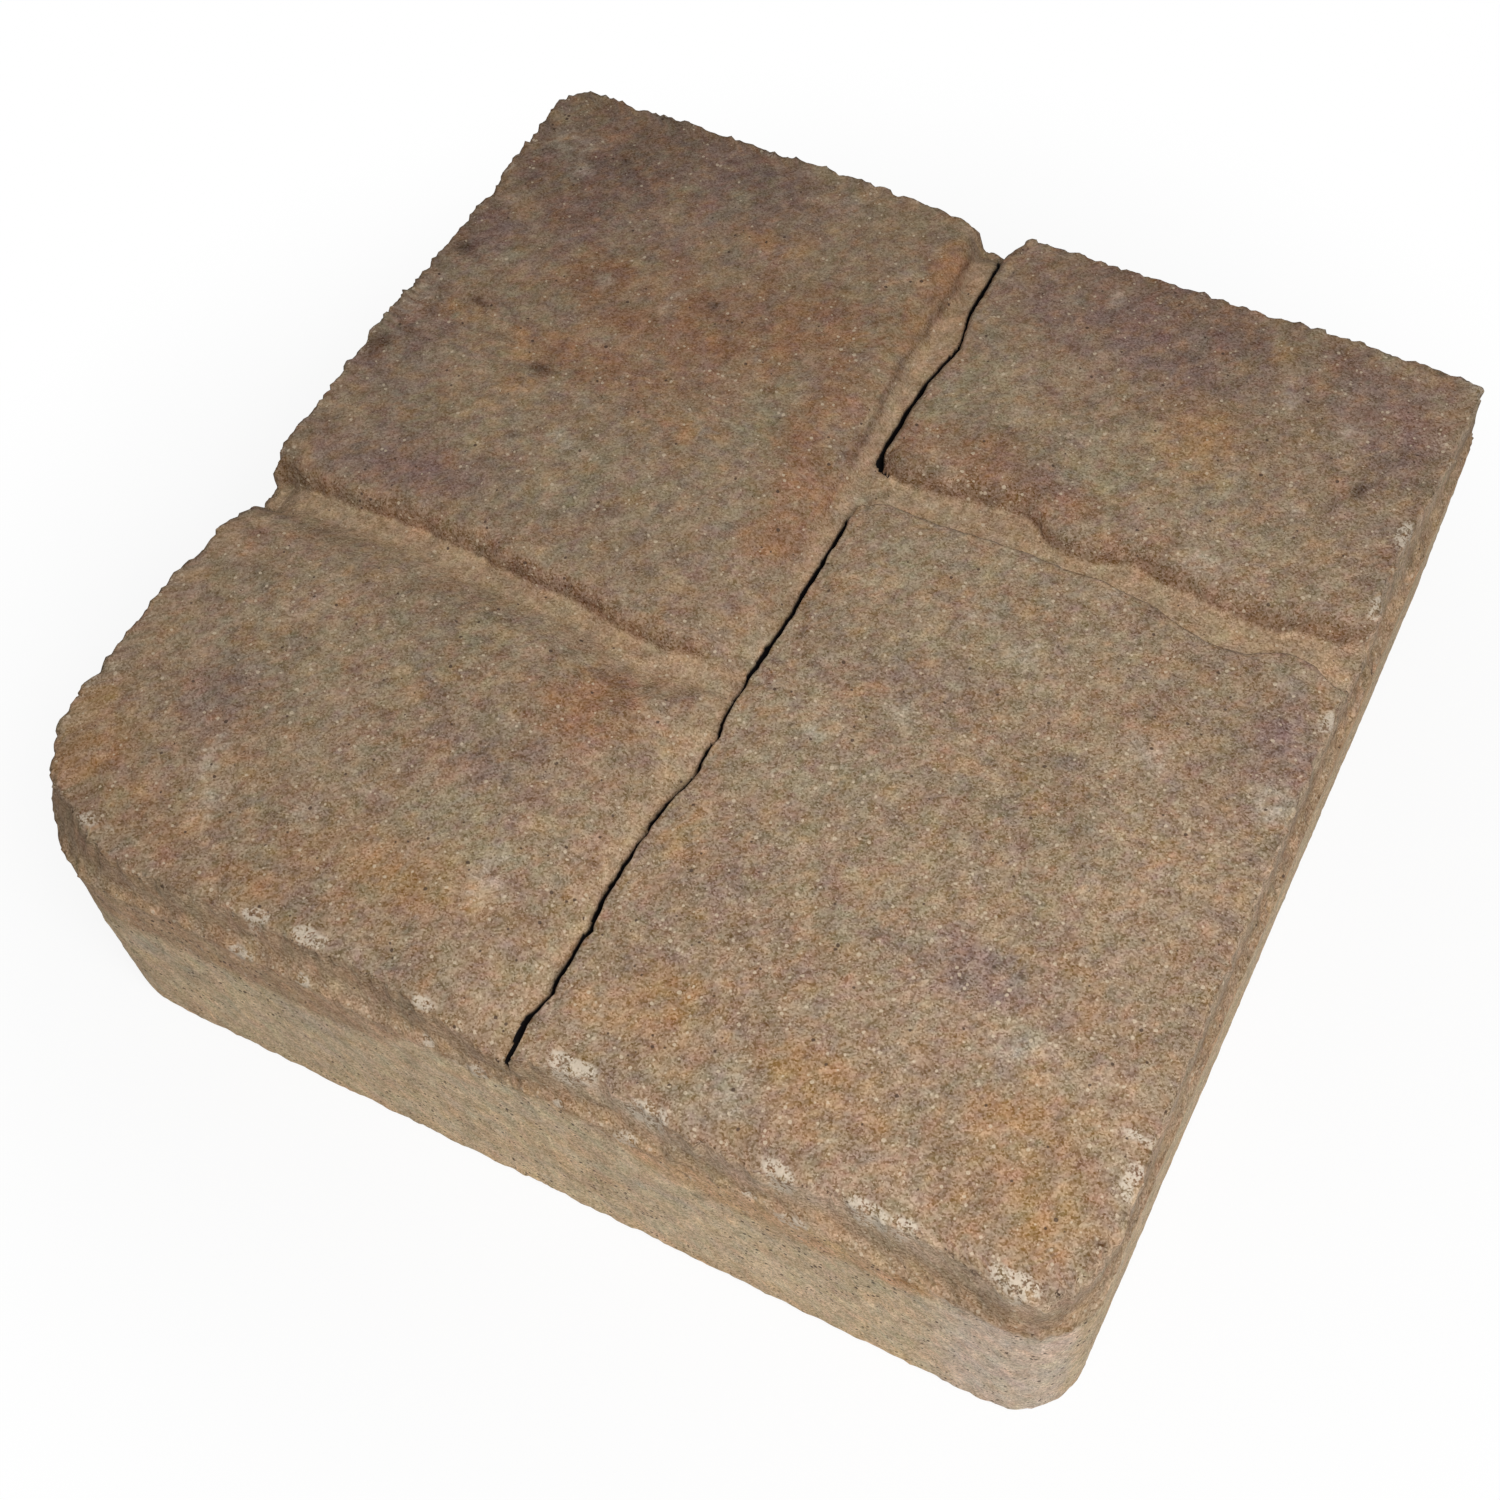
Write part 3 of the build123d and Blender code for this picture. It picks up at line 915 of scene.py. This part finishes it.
def cellNode(tree, place, size):
    # distance from a grain's middle, and two values that each grain has for itself
    node = tree.nodes.new("ShaderNodeTexVoronoi")
    plug(tree, place, node.inputs["Vector"])
    node.inputs["Scale"].default_value = 1 / size
    split = tree.nodes.new("ShaderNodeSeparateColor")
    tree.links.new(node.outputs["Color"], split.inputs[0])
    return node.outputs["Distance"], split.outputs[0], split.outputs[1]


def maskNode(tree, name, output="Fac"):
    node = tree.nodes.new("ShaderNodeAttribute")
    node.attribute_name = name
    return node.outputs[output]


# Sand, grains and flakes of the concrete, in millimetres. The edges are (low, high) of a soft step.
grain = {
    "sandSize": 0.36,
    "sandShade": 1.0,             # difference between a pale and a dark grain of sand
    "clumpSize": 1.5,
    "clumpDetail": 2.0,
    "clumpRough": 0.75,
    "clumpShade": 0.66,
    "shadeGain": 0.5,             # the shade scales the colour
    "shadeLift": 0.1,             # and is added to it
    "speckSize": 1.05,
    "speckReach": 0.4,
    "speckUneven": 0.5,
    "speckEdge": (-0.03, 0.05),
    # share of the cells with a pale grain: everywhere, more where it is sandy or gritty
    "paleLeast": 0.08,
    "paleSandy": 0.28,
    "paleGritty": 0.45,
    "paleCover": 0.6,
    # cells above this value have a dark grain, and more of them on the plain side
    "pitFrom": 0.94,
    "pitSide": -0.38,
    "pitCover": 0.85,
    "flakeSand": 0.2,
    "flakeEdge": (0.4, 0.56),
    "flakeCover": 0.7,
    "chalkEdge": (0.1, 0.6),
    "chalkHollow": 0.12,          # painted shade in the crevices among the flakes
    "hollowEdge": (0.45, 0.36),
    "crackEdge": (0.05, 0.3),
    "bumpDepth": 0.0005,
    "bumpStrength": 0.7,
}


def buildConcrete():
    material = bpy.data.materials.new("agedConcrete")
    material.use_nodes = True
    tree = material.node_tree
    bsdf = tree.nodes["Principled BSDF"]
    coords = tree.nodes.new("ShaderNodeTexCoord")
    scale = tree.nodes.new("ShaderNodeVectorMath")
    scale.operation = "SCALE"
    scale.inputs["Scale"].default_value = 1 / mm
    tree.links.new(coords.outputs["Object"], scale.inputs[0])
    place = scale.outputs[0]                      # millimetres

    def times(a, b):
        return mathNode(tree, "MULTIPLY", a, b)

    def timesAdd(a, b, c):
        return mathNode(tree, "MULTIPLY_ADD", a, b, c)

    def centred(value):
        return mathNode(tree, "SUBTRACT", value, 0.5)

    def squared(value):
        return mathNode(tree, "POWER", value, 2.0)

    # sand: a shade for each grain, and softer clumps
    sandTone = cellNode(tree, place, grain["sandSize"])[1]
    clumps = noiseNode(tree, place, grain["clumpSize"], grain["clumpDetail"], grain["clumpRough"])
    tone = times(centred(sandTone), times(maskNode(tree, "sandy"), grain["sandShade"]))
    tone = timesAdd(centred(clumps), grain["clumpShade"], tone)
    shade = timesAdd(tone, grain["shadeGain"], 1.0)
    colour = mixNode(tree, 1.0, maskNode(tree, "tint", "Color"), shade, "MULTIPLY")
    colour = mixNode(tree, 1.0, colour, times(tone, grain["shadeLift"]), "ADD")

    # pale and dark grains, one in a cell
    cells, cellTone, cellSize = cellNode(tree, place, grain["speckSize"])
    uneven = times(centred(clumps), grain["speckUneven"])
    reach = timesAdd(squared(cellSize), grain["speckReach"], uneven)
    inGrain = rampNode(tree, mathNode(tree, "SUBTRACT", reach, cells), *grain["speckEdge"])
    paleShare = timesAdd(squared(maskNode(tree, "sandy")), grain["paleSandy"], grain["paleLeast"])
    paleShare = timesAdd(maskNode(tree, "gritty"), grain["paleGritty"], paleShare)
    paleGrain = times(inGrain, mathNode(tree, "LESS_THAN", cellTone, paleShare))
    pitShare = timesAdd(maskNode(tree, "plainSide"), grain["pitSide"], grain["pitFrom"])
    darkGrain = times(inGrain, mathNode(tree, "GREATER_THAN", cellTone, pitShare))
    colour = mixNode(tree, times(paleGrain, grain["paleCover"]), colour, concrete["speck"])
    colour = mixNode(tree, times(darkGrain, grain["pitCover"]), colour, concrete["pit"])

    # chalky flakes, with painted shade in the crevices among them and along the rim
    flakes = timesAdd(centred(sandTone), grain["flakeSand"], clumps)
    chalk = rampNode(tree, maskNode(tree, "chalk"), *grain["chalkEdge"])
    pale = times(rampNode(tree, flakes, *grain["flakeEdge"]), chalk)
    colour = mixNode(tree, times(pale, grain["flakeCover"]), colour, concrete["white"])
    hollowShade = mathNode(tree, "MAXIMUM", maskNode(tree, "creviceShade"), times(chalk, grain["chalkHollow"]))
    hollowShade = times(hollowShade, rampNode(tree, flakes, *grain["hollowEdge"]))
    colour = mixNode(tree, hollowShade, colour, concrete["hollowShade"])
    # painted shadow: the crack painted near black
    crackAndShadow = rampNode(tree, maskNode(tree, "crackAndShadow"), *grain["crackEdge"])
    colour = mixNode(tree, crackAndShadow, colour, concrete["crackAndShadow"])
    tree.links.new(colour, bsdf.inputs["Base Color"])

    bump = tree.nodes.new("ShaderNodeBump")
    bump.inputs["Strength"].default_value = grain["bumpStrength"]
    bump.inputs["Distance"].default_value = grain["bumpDepth"]
    tree.links.new(clumps, bump.inputs["Height"])
    tree.links.new(bump.outputs[0], bsdf.inputs["Normal"])
    bsdf.inputs["Roughness"].default_value = concrete["roughness"]
    bsdf.inputs["Specular IOR Level"].default_value = concrete["specular"]
    return material


slabMesh.materials.append(buildConcrete())
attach(pavingSlab, "root")
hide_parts("paving_slab")
print("concrete ready")

# Floor, light and camera, in metres. The key light stands beside the camera, by millimetres.
stage = {
    "cameraTurn": (32.093, 2.394, 27.108),
    "lens": 51.088,
    "sensor": 36,
    "clipStart": 0.01,
    "keyRight": 65.0,
    "keyUp": 20.0,
    "keySize": 0.15,
    "keyPower": 1.53,
    "aim": (0, 0, 0.05),
    "fill": 0.24,
    "floor": 0.86,                # grey of the floor
    "floorHalf": 3.0,
    "floorHeight": -0.0002,
    "floorWhite": 0.89,           # share of plain white that the camera sees, near the slab
    "floorReach": (0.13, 0.24),   # it rises to all white over these distances from the middle
}


def buildFloor():
    mesh = bpy.data.meshes.new("studio_floor")
    r, z = stage["floorHalf"], stage["floorHeight"]
    mesh.from_pydata([(-r, -r, z), (r, -r, z), (r, r, z), (-r, r, z)], [], [(0, 1, 2, 3)])
    floor = bpy.data.objects.new("studio_floor", mesh)
    bpy.context.scene.collection.objects.link(floor)
    material = bpy.data.materials.new("paleFloor")
    material.use_nodes = True
    tree = material.node_tree
    tree.nodes.clear()
    out = tree.nodes.new("ShaderNodeOutputMaterial")
    mix = tree.nodes.new("ShaderNodeMixShader")
    diffuse = tree.nodes.new("ShaderNodeBsdfDiffuse")
    diffuse.inputs["Color"].default_value = (stage["floor"],) * 3 + (1,)
    glow = tree.nodes.new("ShaderNodeEmission")
    glow.inputs["Strength"].default_value = 1.0
    path = tree.nodes.new("ShaderNodeLightPath")
    centre = tree.nodes.new("ShaderNodeTexCoord")
    away = tree.nodes.new("ShaderNodeVectorMath")
    away.operation = "LENGTH"
    tree.links.new(centre.outputs["Object"], away.inputs[0])
    outer = rampNode(tree, away.outputs["Value"], *stage["floorReach"])
    white = mathNode(tree, "MULTIPLY_ADD", outer, 1 - stage["floorWhite"], stage["floorWhite"])
    share = mathNode(tree, "MULTIPLY", path.outputs["Is Camera Ray"], white)
    tree.links.new(share, mix.inputs[0])
    tree.links.new(diffuse.outputs[0], mix.inputs[1])
    tree.links.new(glow.outputs[0], mix.inputs[2])
    tree.links.new(mix.outputs[0], out.inputs["Surface"])
    mesh.materials.append(material)


def buildStage():
    scene = bpy.context.scene
    cameraData = bpy.data.cameras.new("camera")
    cameraData.lens = stage["lens"]
    cameraData.sensor_width = stage["sensor"]
    cameraData.clip_start = stage["clipStart"]
    camera = bpy.data.objects.new("camera", cameraData)
    turn = Euler([math.radians(a) for a in stage["cameraTurn"]], "XYZ").to_matrix()
    place = Vector(cameraPlace) * mm
    camera.matrix_world = Matrix.Translation(place) @ turn.to_4x4()
    scene.collection.objects.link(camera)
    scene.camera = camera

    lamp = bpy.data.lights.new("key", "AREA")
    lamp.size = stage["keySize"]
    lamp.energy = stage["keyPower"]
    key = bpy.data.objects.new("key", lamp)
    keyPlace = place + turn @ Vector((stage["keyRight"], stage["keyUp"], 0)) * mm
    aim = (Vector(stage["aim"]) - keyPlace).to_track_quat("-Z", "Y")
    key.matrix_world = Matrix.Translation(keyPlace) @ aim.to_matrix().to_4x4()
    scene.collection.objects.link(key)

    world = bpy.data.worlds.new("studio")
    world.use_nodes = True
    background = world.node_tree.nodes["Background"]
    background.inputs["Strength"].default_value = stage["fill"]
    background.inputs["Color"].default_value = (1, 1, 1, 1)
    scene.world = world
    scene.view_settings.view_transform = "Standard"


buildFloor()
buildStage()
print("stage ready")
